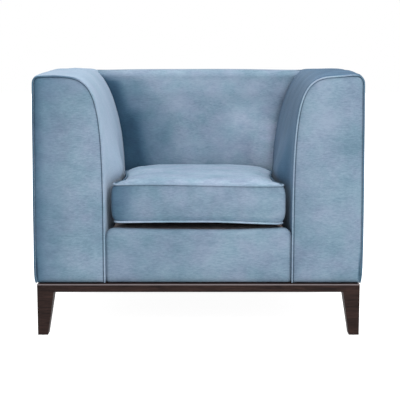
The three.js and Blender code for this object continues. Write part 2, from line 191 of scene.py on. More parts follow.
def tube(name, points, radius, sides=10, closed=False):
    """A round tube along points, capped at its ends or closed on itself."""
    points = np.array(points, float)
    count = len(points)
    if closed:
        tangents = np.roll(points, -1, 0) - np.roll(points, 1, 0)
    else:
        tangents = np.gradient(points, axis=0)
    tangents /= np.linalg.norm(tangents, axis=1, keepdims=True)
    side = np.cross(tangents[0], (0.0, 0.0, 1.0))
    if np.linalg.norm(side) < 0.1:
        side = np.cross(tangents[0], (0.0, 1.0, 0.0))
    rings = []
    for k in range(count):
        side = side - tangents[k] * side.dot(tangents[k])
        side /= np.linalg.norm(side)
        up = np.cross(tangents[k], side)
        turn = np.arange(sides) * 2 * math.pi / sides
        r = radius[k] if hasattr(radius, "__len__") else radius
        rings.append(points[k] + r * (np.outer(np.cos(turn), side) + np.outer(np.sin(turn), up)))
    faces = []
    for k in range(count if closed else count - 1):
        a, b = k * sides, ((k + 1) % count) * sides
        for i in range(sides):
            j = (i + 1) % sides
            faces.append((a + i, a + j, b + j, b + i))
    if not closed:
        faces.append(tuple(range(sides))[::-1])
        faces.append(tuple((count - 1) * sides + i for i in range(sides)))
    piece = new_mesh(name, np.concatenate(rings), faces)
    face_outward(piece)
    subdivide(piece)
    return piece


def resample(points, step):
    """The same line with its points a step apart."""
    points = np.array(points, float)
    gaps = np.linalg.norm(np.diff(points, axis=0), axis=1)
    along = np.concatenate([[0.0], np.cumsum(gaps)])
    wanted = np.linspace(0, along[-1], max(3, int(round(along[-1] / step)) + 1))
    return np.stack([np.interp(wanted, along, points[:, k]) for k in range(points.shape[1])], 1)


def smooth_line(points):
    points = points.copy()
    points[1:-1] = (points[:-2] + 2 * points[1:-1] + points[2:]) / 4
    return points


def subdivide(piece):
    modifier = piece.modifiers.new("smooth", "SUBSURF")
    modifier.levels = modifier.render_levels = 1


def set_painted_shading(piece, shade=None, mottle=1.0, cast=(1.0, 1.0, 1.0)):
    """Stores painted light and shade at each point, for the velvet's colour. shade takes an array of points
    and gives a number for each: 1 is even, more is painted light, less painted shade and bluer. cast tints
    it."""
    points = np.array([v.co for v in piece.data.vertices])
    value = np.ones(len(points)) if shade is None else np.clip(shade(points), 0.05, 3.0)
    red = value ** np.where(value < 1, 1.48, 1.18)
    blue = value ** np.where(value < 1, 0.80, 0.93)
    colors = np.stack([red * cast[0], value * cast[1], blue * cast[2], np.full(len(points), mottle)], 1)
    attribute = piece.data.color_attributes.new("painted_shading", "FLOAT_COLOR", "POINT")
    attribute.data.foreach_set("color", colors.astype(np.float32).ravel())


def ease(value, low, high):
    """0 up to low, 1 from high, and smooth in between."""
    t = np.clip((value - low) / (high - low), 0, 1)
    return t * t * (3 - 2 * t)


def finish_piece(piece, body, slot, replaced, shade=None, mottle=1.0, cast=(1.0, 1.0, 1.0)):
    """Gives a piece its material, its body and the frame node that it stands for."""
    if slot.startswith("velvet"):
        set_painted_shading(piece, shade, mottle, cast)
    piece.data.materials.clear()
    piece.data.materials.append(MATERIALS[slot])
    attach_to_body(piece, body)
    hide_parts(replaced)
    return piece


# --- Materials ---


def node_material(name, roughness, metallic=0.0):
    material = bpy.data.materials.new(name)
    material.use_nodes = True
    tree = material.node_tree
    shader = tree.nodes["Principled BSDF"]
    shader.inputs["Roughness"].default_value = roughness
    shader.inputs["Metallic"].default_value = metallic
    return material, tree, shader


def attach(tree, socket, value):
    """Sets a socket to a value, or links another node's output to it."""
    if hasattr(value, "links"):
        tree.links.new(value, socket)
    else:
        socket.default_value = value


def add_node(tree, kind, **settings):
    made = tree.nodes.new(kind)
    for key, value in settings.items():
        if key in made.inputs:
            attach(tree, made.inputs[key], value)
        else:
            setattr(made, key, value)
    return made


def noise_at(tree, place, scale, detail=2.0, rough=0.5, stretch=(1, 1, 1), distort=0.0):
    place = add_node(tree, "ShaderNodeMapping", Vector=place, Scale=stretch).outputs["Vector"]
    settings = {"Scale": scale, "Detail": detail, "Roughness": rough, "Distortion": distort}
    return add_node(tree, "ShaderNodeTexNoise", Vector=place, **settings).outputs["Fac"]


def ramp(tree, value, stops):
    made = add_node(tree, "ShaderNodeValToRGB", Fac=value)
    elements = made.color_ramp.elements
    while len(elements) < len(stops):
        elements.new(0.5)
    for element, (position, color) in zip(elements, stops):
        element.position = position
        element.color = (*color, 1)
    return made.outputs["Color"]


def mix(tree, factor, a, b, kind="MIX"):
    made = add_node(tree, "ShaderNodeMix", data_type="RGBA", blend_type=kind)
    for index, value in ((0, factor), (6, a), (7, b)):  # the node's factor and its two colours
        attach(tree, made.inputs[index], value)
    return made.outputs[2]


def math_node(tree, operation, *values):
    made = add_node(tree, "ShaderNodeMath", operation=operation)
    for socket, value in zip(made.inputs, values):
        attach(tree, socket, value)
    return made.outputs["Value"]


def bump(tree, shader, height, strength, distance, under=None):
    made = add_node(tree, "ShaderNodeBump", Strength=strength, Distance=distance, Height=height)
    if under is not None:
        tree.links.new(under, made.inputs["Normal"])
    tree.links.new(made.outputs["Normal"], shader.inputs["Normal"])
    return made.outputs["Normal"]


def scaled(color, factor):
    return tuple(c * factor for c in color)


def grey(level):
    return (level,) * 3


def surface(name, roughness, metallic=0.0):
    """A new material with its tree, its shader and the object's own coordinates."""
    material, tree, shader = node_material(name, roughness, metallic)
    return material, tree, shader, add_node(tree, "ShaderNodeTexCoord").outputs["Object"]


VELVET_DARK = (0.083, 0.134, 0.190)
VELVET_MID = (0.141, 0.203, 0.268)
VELVET_LIGHT = (0.200, 0.268, 0.336)
VELVET_TEAL = (0.114, 0.209, 0.258)
VELVET_LAVENDER = (0.172, 0.200, 0.286)
GRAIN = (1, 12, 12)  # timber's stretch across its grain
ARRIS_HIGHLIGHT = (0.15, 0.128, 0.132)  # the plinth's edge, rubbed pale, with a painted highlight


def velvet_material(name):
    """Cut-pile velvet: brushed patches of lighter and darker pile with a fine grain along the weft, a soft
    sheen and a pile. The colours stored on each piece paint its light and shade, and say how mottled it is."""
    material, tree, shader, place = surface(name, 0.78)
    broad = noise_at(tree, place, 6.0, 2.0, 0.5, (1, 1, 1.1))
    patches = noise_at(tree, place, 22.0, 6.0, 0.72, (0.80, 0.80, 1.30))
    grain = noise_at(tree, place, 210.0, 3.0, 0.6, (0.40, 0.40, 1.6))
    blend = math_node(tree, "ADD", math_node(tree, "MULTIPLY", broad, 0.32),
                      math_node(tree, "MULTIPLY", patches, 0.34))
    blend = math_node(tree, "ADD", blend, math_node(tree, "MULTIPLY", grain, 0.34))
    color = ramp(tree, blend, [(0.38, VELVET_DARK), (0.5, VELVET_MID), (0.62, VELVET_LIGHT)])
    tint = noise_at(tree, place, 13.0, 3.0, 0.55)
    hue = ramp(tree, tint, [(0.36, VELVET_TEAL), (0.64, VELVET_LAVENDER)])
    color = mix(tree, 0.30, color, hue)
    painted_shading = add_node(tree, "ShaderNodeAttribute", attribute_name="painted_shading")
    color = mix(tree, painted_shading.outputs["Alpha"], (*VELVET_MID, 1), color)
    pile = noise_at(tree, place, 900.0, 2.0, 0.6)
    speck = ramp(tree, pile, [(0.3, grey(0.93)), (0.7, grey(1.06))])
    color = mix(tree, 1.0, color, speck, "MULTIPLY")
    color = mix(tree, 1.0, color, painted_shading.outputs["Color"], "MULTIPLY")
    tree.links.new(color, shader.inputs["Base Color"])
    rough = ramp(tree, patches, [(0.3, grey(0.70)), (0.7, grey(0.88))])
    tree.links.new(rough, shader.inputs["Roughness"])
    for key, value in (
        ("Specular IOR Level", 0.18), ("Sheen Weight", 0.14), ("Sheen Roughness", 0.40),
        ("Sheen Tint", (0.72, 0.84, 1.0, 1.0)),
    ):
        shader.inputs[key].default_value = value
    soft = bump(tree, shader, patches, 0.12, 0.002)
    bump(tree, shader, pile, 0.35, 0.0006, soft)
    return material


def rubbed_edge_highlight(tree, place):
    """1 along the plinth's top outer edge, where the finish is rubbed paler and a highlight is painted, and 0
    elsewhere.
    """
    split = add_node(tree, "ShaderNodeSeparateXYZ", Vector=place)
    beyond_side = math_node(tree, "SUBTRACT", math_node(tree, "ABSOLUTE", split.outputs["X"]), plinth_high.x)
    before = math_node(tree, "SUBTRACT", plinth_low.y, split.outputs["Y"])
    behind = math_node(tree, "SUBTRACT", split.outputs["Y"], plinth_rear)
    outward = math_node(tree, "MAXIMUM", math_node(tree, "MAXIMUM", beyond_side, before), behind)
    upward = math_node(tree, "SUBTRACT", split.outputs["Z"], plinth_high.z)
    # each runs from 0 to 1 over the last 10 mm before the edge
    near = [math_node(tree, "MULTIPLY_ADD", way, 100.0, 1.0) for way in (outward, upward)]
    side = ramp(tree, near[0], [(0.45, grey(0)), (0.60, grey(1))])
    top = ramp(tree, near[1], [(0.72, grey(0)), (0.80, grey(1))])
    return mix(tree, 1.0, side, top, "MULTIPLY")


def wood_material(name, dark, light, roughness, arris_highlight=None):
    """Timber with its grain along X; arris is the paler colour of the plinth's rubbed edge with its painted
    highlight, if it has one.
    """
    material, tree, shader, place = surface(name, roughness)
    grain = noise_at(tree, place, 14.0, 6.0, 0.65, GRAIN, 0.5)
    pores = noise_at(tree, place, 90.0, 3.0, 0.6, GRAIN, 0.1)
    color = ramp(tree, grain, [(0.35, dark), (0.65, light)])
    tone = ramp(tree, pores, [(0.35, grey(0.78)), (0.6, grey(1.05))])
    color = mix(tree, 1.0, color, tone, "MULTIPLY")
    # a painted highlight along the plinth's top outer edge, on finish rubbed paler
    if arris_highlight is not None:
        color = mix(tree, rubbed_edge_highlight(tree, place), color, (*arris_highlight, 1))
    tree.links.new(color, shader.inputs["Base Color"])
    spread = ramp(tree, grain, [(0.3, grey(roughness - 0.06)), (0.7, grey(roughness + 0.08))])
    tree.links.new(spread, shader.inputs["Roughness"])
    shader.inputs["IOR"].default_value = 1.2
    bump(tree, shader, pores, 0.25, 0.0004)
    return material


def woven_material(name, dark, light, threads, roughness=0.9):
    """Plain woven cloth: crossing threads at a given number to the metre."""
    material, tree, shader, place = surface(name, roughness)
    heights = []
    for axis in ("X", "Y"):
        wave = add_node(tree, "ShaderNodeTexWave", wave_type="BANDS", bands_direction=axis,
                        Vector=place, Scale=threads, Distortion=0.6)
        heights.append(wave.outputs["Fac"])
    weave = math_node(tree, "MULTIPLY", heights[0], heights[1])
    slubs = noise_at(tree, place, 60.0, 3.0, 0.6)
    slubs = math_node(tree, "MULTIPLY", slubs, 0.4)
    tone = math_node(tree, "ADD", math_node(tree, "MULTIPLY", weave, 0.6), slubs)
    tree.links.new(ramp(tree, tone, [(0.15, dark), (0.75, light)]), shader.inputs["Base Color"])
    bump(tree, shader, weave, 0.4, 0.0006)
    return material


def metal_material(name, color, roughness):
    material, tree, shader, place = surface(name, roughness, 1.0)
    smudge = noise_at(tree, place, 45.0, 4.0, 0.6)
    tree.links.new(ramp(tree, smudge, [(0.3, scaled(color, 0.8)), (0.7, color)]), shader.inputs["Base Color"])
    spread = ramp(tree, smudge, [(0.3, grey(roughness - 0.08)), (0.7, grey(roughness + 0.1))])
    tree.links.new(spread, shader.inputs["Roughness"])
    bump(tree, shader, noise_at(tree, place, 400.0, 2.0, 0.5), 0.1, 0.0003)
    return material


def cellular_material(name, dark, light, scale, roughness=0.95):
    """Foam or moulded plastic: small cells over a soft change of tone."""
    material, tree, shader, place = surface(name, roughness)
    cells = add_node(tree, "ShaderNodeTexVoronoi", Vector=place, Scale=scale)
    tone = noise_at(tree, place, 12.0, 3.0, 0.5)
    tree.links.new(ramp(tree, tone, [(0.3, dark), (0.7, light)]), shader.inputs["Base Color"])
    bump(tree, shader, cells.outputs["Distance"], 0.3, 0.0005)
    return material


MATERIALS = {
    name: build(name, *values)
    for build, name, *values in (
        (velvet_material, "velvet"),
        (velvet_material, "velvet_piping"),
        (wood_material, "stained_wood", (0.0080, 0.0038, 0.0032), (0.0290, 0.0150, 0.0125), 0.5, ARRIS_HIGHLIGHT),
        (wood_material, "frame_wood", (0.42, 0.27, 0.14), (0.66, 0.48, 0.30), 0.75),
        (metal_material, "steel", (0.55, 0.56, 0.58), 0.35),
        (metal_material, "zip_metal", (0.42, 0.42, 0.44), 0.3),
        (woven_material, "webbing", (0.010, 0.010, 0.012), (0.045, 0.045, 0.050), 260.0),
        (woven_material, "dust_cloth", (0.008, 0.008, 0.009), (0.030, 0.030, 0.032), 500.0),
        (woven_material, "deck_cloth", (0.32, 0.25, 0.24), (0.62, 0.52, 0.49), 340.0),
        (cellular_material, "foam", (0.62, 0.54, 0.36), (0.78, 0.71, 0.52), 500.0),
        (cellular_material, "glide_plastic", (0.012, 0.012, 0.013), (0.028, 0.028, 0.030), 900.0, 0.45),
    )
}

# --- Carried-over frame nodes ---

for part in frame["record"]["subparts"]:
    node = frame["nodes"][part["node"]]
    node.data.materials.clear()
    node.data.materials.append(MATERIALS[part["material_slot"]])
    if part["material_slot"] == "stained_wood":
        edge = node.modifiers.new("eased_edges", "BEVEL")
        edge.width = 0.0032 if part["node"].startswith("plinth") else 0.0009
        edge.segments = 3
        edge.limit_method = "ANGLE"
        edge.angle_limit = math.radians(40)
        edge.harden_normals = False

# --- Arms ---


def station_at(y):
    """The arm's outline measures at a distance y along the chair."""
    table = np.array(ARM_STATIONS)
    return [float(np.interp(y, table[:, 0], table[:, k])) for k in range(1, 7)]


def arm_line(measures, low, end, inset=0.0, parts=(9, 30, 9, 7, 4)):
    """An arm's outline as (x, z) points: up the inner face, over the curve and the top, down the outside.
    inset moves it inwards. parts are the points on each stretch."""
    inner, spring, rise, run, land, top = measures
    outer = HALF_WIDTH - 0.0003
    face = np.stack([np.full(parts[0], inner), np.linspace(low, spring, parts[0])], 1)
    t = np.linspace(0, 1, parts[1] + 1)[1:, None]
    p0, p1 = np.array([inner, spring]), np.array([inner, spring + rise])
    p2, p3 = np.array([land - run, top]), np.array([land, top])
    curve = (1 - t) ** 3 * p0 + 3 * (1 - t) ** 2 * t * p1 + 3 * (1 - t) * t * t * p2 + t ** 3 * p3
    radius = CORNER + inset
    flat_x = np.linspace(land, outer - radius, parts[2] + 1)[1:]
    flat = np.stack([flat_x, np.full(parts[2], top)], 1)
    turn = np.linspace(math.pi / 2, 0, parts[3] + 1)[1:]
    edge = np.stack([outer - radius + radius * np.cos(turn), top - radius + radius * np.sin(turn)], 1)
    down = np.stack([np.full(parts[4], outer), np.linspace(top - radius, end, parts[4] + 1)[1:]], 1)
    line = np.concatenate([face, curve, flat, edge, down])
    if inset:
        along = np.gradient(line, axis=0)
        along /= np.linalg.norm(along, axis=1, keepdims=True)
        line = line + np.stack([along[:, 1], -along[:, 0]], 1) * inset
    return line


def table_at(table, value):
    """A value read off a table of (place, value) pairs."""
    table = np.array(table)
    return np.interp(value, table[:, 0], table[:, 1])


def lean_out(grid, side):
    """Moves points on an arm's outside in or out, as its padding swells at each height, and points on the
    top of its front up or down."""
    share = np.clip((grid[..., 2] - 0.70) / 0.05, 0, 1) * (1 - ease(grid[..., 1], -0.405, -0.33))
    grid[..., 2] += share * table_at(FRONT_CROWN[side], np.abs(grid[..., 0]))
    share = np.clip((np.abs(grid[..., 0]) - 0.40) / 0.075, 0, 1)
    grid[..., 0] += np.sign(grid[..., 0]) * share * table_at(LEAN[side], grid[..., 2])
    return grid


def spaced(low, high, step, margin, fine):
    """Places from low to high about step apart, and finer within a margin of each end."""
    near = np.linspace(0, margin, fine)[:-1]
    middle = np.linspace(low + margin, high - margin, max(2, int((high - low - 2 * margin) / step) + 1))
    return np.concatenate([low + near, middle, high - near[::-1]])


def to_border(a, b):
    """The grid of two lists of places, and each point's distance from the nearest of its four edges."""
    aa, bb = np.meshgrid(a, b, indexing="ij")
    return aa, bb, np.minimum(np.minimum(aa - a[0], a[-1] - aa), np.minimum(bb - b[0], b[-1] - bb))


def ripple(grid, amount, scale, seed, mask):
    """Moves a grid's points along its normals by smooth noise, as much as the mask lets it."""
    n = normals_of(grid)
    flat = grid.reshape(-1, 3)
    move = (rng_noise(flat, scale, seed) * amount).reshape(grid.shape[:2])
    return grid + n * (move * mask)[..., None]


def squeeze(y, later=0.0):
    """How much, from 0 to 1, an arm's padding and the cushion's side press together along the chair."""
    return ease(y, -0.385 + later, -0.280 + later) * (1 - ease(y, -0.17 - later, 0.06))


def make_arm(side, name):
    """One arm: its cover over the top and inner face, padded front, piping and outside panel."""
    seam = outside_high.z - 0.0080
    parts = (20, 30, 9, 7, 4)
    stations = spaced(pad_low.y - 0.0035, pad_high.y, 0.014, 0.045, 9)
    foot_beside_rail = rail_low.z + 0.003
    foot_rise = pad_low.z - 0.033 - rail_low.z  # from there to its foot behind the rail
    rows = []
    for y in stations:
        # beside the front rail the cover runs down to the plinth
        low = foot_beside_rail + foot_rise * float(ease(y, -0.388, -0.372))
        line = arm_line(station_at(y), low, seam, parts=parts)
        rows.append(np.stack([line[:, 0], np.full(len(line), y), line[:, 1]], 1))
    grid = np.array(rows)
    ends = np.minimum((stations - stations[0]) / 0.05, (stations[-1] - stations) / 0.05)
    mask = np.clip(ends, 0, 1)[:, None] * np.ones(grid.shape[1])
    across = np.clip((grid[..., 0] - 0.33) / (HALF_WIDTH - CORNER - 0.33), 0, 1)
    rear = ease(grid[..., 1], 0.05, 0.38)
    rise = (1 - rear) * np.sin(math.pi * across * 0.66) ** 1.6 + rear * across ** 2
    lifted = np.clip((grid[..., 2] - 0.70) / 0.05, 0, 1) * table_at(CROWN[side], grid[..., 1])
    grid[..., 2] += (lifted + 0.0055 * rear * (across > 0)) * rise * mask
    # the inner face bellies out over the cushion's edge, which falls towards the back
    above = grid[..., 2] - (0.4535 - 0.0436 * (grid[..., 1] - CUSHION_FRONT))
    belly = np.exp(-((above / np.where(above > 0, 0.085, 0.013)) ** 2))
    belly *= 1 - ease(grid[..., 0], 0.29, 0.34)
    grid[..., 0] -= 0.0265 * belly * squeeze(grid[..., 1], 0.010)
    grid = ripple(grid, 0.0018, 0.16, 3 + side, mask)
    grid = ripple(grid, 0.0006, 0.045, 9 + side, mask)
    # it dips into the seam at its front and rear ends
    dip = sum(np.exp(-away / 0.006) * 0.004 for away in (stations - stations[0], stations[-1] - stations))
    n = normals_of(grid)
    sign = 1.0 if float(n[len(n) // 2, 3, 0]) < 0 else -1.0
    grid = lean_out(grid - sign * n * dip[:, None, None], side)
    grid[..., 0] *= side
    cover = shell("arm_cover_" + name, grid, COVER_SKIN, (-side * 0.3, 0, 1))
    shade = ARM_PAINTED_SHADING[name]
    finish_piece(
        cover, "frame", "velvet", "arm_pad_" + name, shade["cover"], shade["mottle"], shade["cast"]
    )

    facing = shell("arm_facing_" + name, facing_grid(side), FACING_SKIN, (0, -1, 0))
    finish_piece(facing, "frame", "velvet", "arm_front_" + name, shade["front"])

    line = resample(arm_line(ARM_FRONT, COVER_BOTTOM, COVER_BOTTOM, WELT), 0.0055)
    route = front_route(smooth_line(line), side)
    wobble = 1 + 0.05 * rng_noise(route, 0.02, 5 + side)
    cord = tube("arm_welt_" + name, route, WELT * wobble, 12)
    finish_piece(cord, "frame", "velvet_piping", "arm_piping_" + name, shade["welt"])

    outside = shell("arm_side_" + name, side_panel(side), PANEL_SKIN, (side, 0, 0))
    finish_piece(outside, "frame", "velvet", "arm_outside_" + name)


def distance_to(line, points):
    """Distance from each 2-D point to a broken line."""
    best = np.full(len(points), 1e9)
    for a, b in zip(line[:-1], line[1:]):
        d = b - a
        t = np.clip(((points - a) @ d) / max(float(d @ d), 1e-12), 0, 1)
        best = np.minimum(best, np.linalg.norm(points - a - t[:, None] * d, axis=1))
    return best


def front_route(line, side):
    """A line of (x, z) points on an arm's front, in the plane of its piping."""
    return lean_out(np.stack([line[:, 0] * side, np.full(len(line), WELT_Y), line[:, 1]], 1), side)


def facing_grid(side):
    """The padded front of an arm: it swells between its piping."""
    parts = (26, 30, 10, 8, 2)
    line = arm_line(ARM_FRONT, COVER_BOTTOM, COVER_BOTTOM, FACING_INSET, parts)
    inner = line[: parts[0] + parts[1]]
    outer = line[parts[0] + parts[1] + parts[2]:][::-1]
    top_row = line[parts[0] + parts[1] - 1: parts[0] + parts[1] + parts[2]]
    rows = []
    columns = 22
    share = (1 - np.cos(np.linspace(0, math.pi, columns))) / 2
    share = 0.6 * share + 0.4 * np.linspace(0, 1, columns)
    for x, z in inner:
        high = np.interp(z, outer[:, 1], outer[:, 0])
        rows.append(np.stack([x + (high - x) * share, np.full(columns, z)], 1))
    last_z = top_row[:, 1].max()
    rows[-1][:, 1] = last_z
    flat = np.array(rows).reshape(-1, 2)
    seam = np.concatenate([line, line[:1]])
    depth = distance_to(seam, flat)
    swell = 1 - np.exp(-((depth / 0.016) ** 1.1))
    y = FACING_Y - FACING_SWELL * swell
    for amount, scale, seed in ((0.0016, 0.11, 21), (0.0004, 0.035, 25)):
        y += rng_noise(np.c_[flat, np.zeros(len(flat))], scale, seed + side) * amount * swell
    grid = lean_out(np.stack([flat[:, 0] * side, y, flat[:, 1]], 1), side)
    return grid.reshape(len(rows), columns, 3)


def side_panel(side):
    """The outside of an arm: velvet pulled flat over board, rounded at its four edges."""
    y = spaced(outside_low.y - 0.004, outside_high.y, 0.03, 0.03, 7)
    z = spaced(outside_low.z, outside_high.z, 0.03, 0.03, 7)
    yy, zz, edge = to_border(y, z)
    x = HALF_WIDTH - EDGE_ROUND * np.exp(-edge / EDGE_WIDTH)
    flat = np.stack([x, yy, zz], -1)
    flat[..., 0] += (rng_noise(flat.reshape(-1, 3), 0.2, 31 + side) * 0.0012).reshape(x.shape)
    flat[..., 0] *= side
    return lean_out(flat, side)


def seam_shade(points):
    """Painted shade right beside the piping, in the crease of the seam."""
    side = 1 if points[:, 0].mean() > 0 else -1
    route = front_route(arm_line(ARM_FRONT, COVER_BOTTOM, COVER_BOTTOM, FACING_INSET), side)
    depth, width = 0.76, 0.0022
    return 1 - depth * np.exp(-((distance_to(route[:, [0, 2]], points[:, [0, 2]]) / width) ** 4))


def left_front_painted_shade(points):
    """Painted shade on the left front: darker near its outer edge, which faces away from the light, and
    towards its top.
    """
    x = points[:, 0] + 0.012 * rng_noise(points, 0.09, 81)
    z = points[:, 2] + 0.020 * rng_noise(points, 0.12, 83)
    value = 0.45 + 0.34 * ease(x, -0.487, -0.440) + 0.29 * ease(x, -0.450, -0.350)
    return (value - 0.17 * ease(z, 0.66, 0.75)) * seam_shade(points)


# Painted shade on the right front: an even tone with a little random variation, darker beside the piping.
def right_front_painted_shade(points):
    return (1.01 + 0.05 * rng_noise(points, 0.1, 87)) * seam_shade(points)


def right_cover_painted_shade(points):
    """Painted shade on the right arm's cover, whose inner face is turned from the light: dark, darker higher
    up and a little lighter on its top, with upright streaks.
    """
    streaks = rng_noise(points * np.array((1, 1, 0.25)), 0.022, 89)
    value = 0.54 - 0.16 * ease(points[:, 2], 0.55, 0.68) + 0.07 * ease(points[:, 2], 0.72, 0.77)
    return value + 0.08 * streaks + 0.07 * rng_noise(points, 0.08, 90)


def left_welt_painted_shade(points):
    """Painted shade on the left arm's piping: dark down its outer side and along its top."""
    top = ease(points[:, 2], 0.750, 0.766)
    return 0.42 + 0.90 * ease(points[:, 0], -0.470, -0.440) * (1 - 0.80 * top)


# Painted light and shade for each arm: the left arm's cover gets painted light, as it faces the light, and
# the right arm's cover gets painted shade, tinted bluer by its cast.
ARM_PAINTED_SHADING = {
    "left": {
        "cover": lambda p: 1.68 - 0.17 * ease(p[:, 2], 0.58, 0.75),
        "mottle": 0.45,
        "cast": (1.0, 1.0, 1.0),
        "front": left_front_painted_shade,
        "welt": left_welt_painted_shade,
    },
    "right": {
        "cover": right_cover_painted_shade,
        "mottle": 0.75,
        "cast": (0.88, 1.0, 1.10),
        "front": right_front_painted_shade,
        # painted highlight on the right arm's piping, darker towards its outer side
        "welt": lambda p: 1.22 - 0.62 * ease(p[:, 0], 0.440, 0.475),
    },
}
for arm_side, arm_name in ((-1, "left"), (1, "right")):
    make_arm(arm_side, arm_name)

# --- Back ---


def back_half_width(z):
    """Half the width between the arms at the back, at a height."""
    line = arm_line(ARM_AT_BACK, 0.2, 0.7)
    top = int(np.argmax(line[:, 1] >= line[:, 1].max() - 1e-6))
    return float(np.interp(z, line[: top + 1, 1], line[: top + 1, 0]))


def back_profile():
    """The back's section from the seat up the front, over the top and down to the rear seam: (y, z)."""
    lean = 0.235
    foot_z, bend_z = back_low.z, 0.416
    top = back_high.z - 0.0045
    roll = 0.030
    lower = [(back_low.y, z) for z in np.linspace(foot_z, bend_z, 6)]
    face = [(back_low.y + (z - bend_z) * lean, z) for z in np.linspace(bend_z, top - roll, 26)[1:]]
    start = face[-1]
    turn = np.linspace(0, math.pi / 2, 9)[1:]
    over = [(start[0] + roll * (1 - math.cos(a)), start[1] + roll * math.sin(a)) for a in turn]
    end_y = back_high.y
    rear_roll = 0.012
    flat_y = np.linspace(over[-1][0], end_y - rear_roll, 12)[1:]
    crown = [(y, top + 0.002 * math.sin(math.pi * (y - over[-1][0]) / (end_y - over[-1][0]))) for y in flat_y]
    turn = np.linspace(0, math.pi / 2, 5)[1:]
    rear_y, rear_z = end_y - rear_roll, crown[-1][1]
    rear = [(rear_y + rear_roll * math.sin(a), rear_z - rear_roll * (1 - math.cos(a))) for a in turn]
    return np.array(lower + face + over + crown + rear)


def make_back():
    """The inside back, crowned between the arms and drawn in beside them, and the plain outside back."""
    section = back_profile()
    columns = 61
    share = np.linspace(-1, 1, columns)
    share = np.sign(share) * (1 - (1 - np.abs(share)) ** 1.35)
    rows = []
    for y, z in section:
        half = back_half_width(min(z, back_high.z)) + 0.0045
        rows.append(np.stack([share * half, np.full(columns, y), np.full(columns, z)], 1))
    grid = np.array(rows)
    half = np.abs(grid[:, -1:, 0])
    edge = half - np.abs(grid[..., 0])
    n = normals_of(grid)
    if n[12, 30, 1] > 0:
        n = -n
    front = np.clip((section[:, 1] - 0.36) / 0.1, 0, 1) * np.clip((0.76 - section[:, 1]) / 0.08, 0, 1)
    belly = 0.011 * front[:, None] * (1 - (grid[..., 0] / half) ** 4)
    dip = 0.0080 * np.exp(-((edge / 0.013) ** 1.3))
    top_flat = np.clip((section[:, 1] - 0.74) / 0.02, 0, 1)[:, None]
    dip = dip * (1 - 0.45 * top_flat)
    grid[..., 2] -= 0.0034 * top_flat * np.abs(grid[..., 0] / half) ** 2
    grid = grid + n * (belly - dip)[..., None]
    mask = np.clip(edge / 0.03, 0, 1) * (1 - 0.8 * top_flat)
    grid = ripple(grid, 0.0026, 0.17, 41, mask)
    grid = ripple(grid, 0.0006, 0.05, 43, mask)
    back = shell("back_cover", grid, COVER_SKIN, (0, -1, 0.6))
    finish_piece(back, "frame", "velvet", "back_pad", back_painted_shading)

    x = spaced(outback_low.x, outback_high.x, 0.03, 0.03, 7)
    z = spaced(outback_low.z, outback_high.z, 0.03, 0.03, 7)
    xx, zz, border = to_border(x, z)
    yy = outback_high.y - EDGE_ROUND * np.exp(-border / EDGE_WIDTH)
    panel = np.stack([xx, yy, zz], -1)
    panel[..., 1] += (rng_noise(panel.reshape(-1, 3), 0.2, 51) * 0.0012).reshape(xx.shape)
    rear = shell("back_outside", panel, PANEL_SKIN, (0, 1, 0))
    finish_piece(rear, "frame", "velvet", "outside_back")


def back_painted_shading(points):
    """Painted shade on the back, darker towards its left edge, with painted light on its lower right and in
    the lower corner beside the right arm.
    """
    x = points[:, 0] + 0.05 * rng_noise(points, 0.16, 91) + 0.012 * rng_noise(points, 0.05, 93)
    x = x + 0.50 * np.clip(points[:, 2] - 0.62, -0.08, 0.2) + 0.16 * ease(points[:, 2], 0.715, 0.765)
    value = 0.27 + 0.42 * ease(x, -0.262, -0.195) + 0.36 * ease(x, -0.20, -0.04)
    right = ease(points[:, 0], 0.03, 0.20) * (1 - ease(points[:, 2], 0.57, 0.68))
    corner = ease(points[:, 0], 0.17, 0.26) * (1 - ease(points[:, 2], 0.50, 0.63))
    value = value + 0.07 * rng_noise(points, 0.07, 97) + 0.30 * right + 1.15 * corner
    return value * (1.09 - 0.02 * ease(points[:, 2], 0.70, 0.755))


make_back()

# --- Front rail and deck ---


SEAT_SAG = 0.0058  # how far the rail's top and the deck dip in the middle


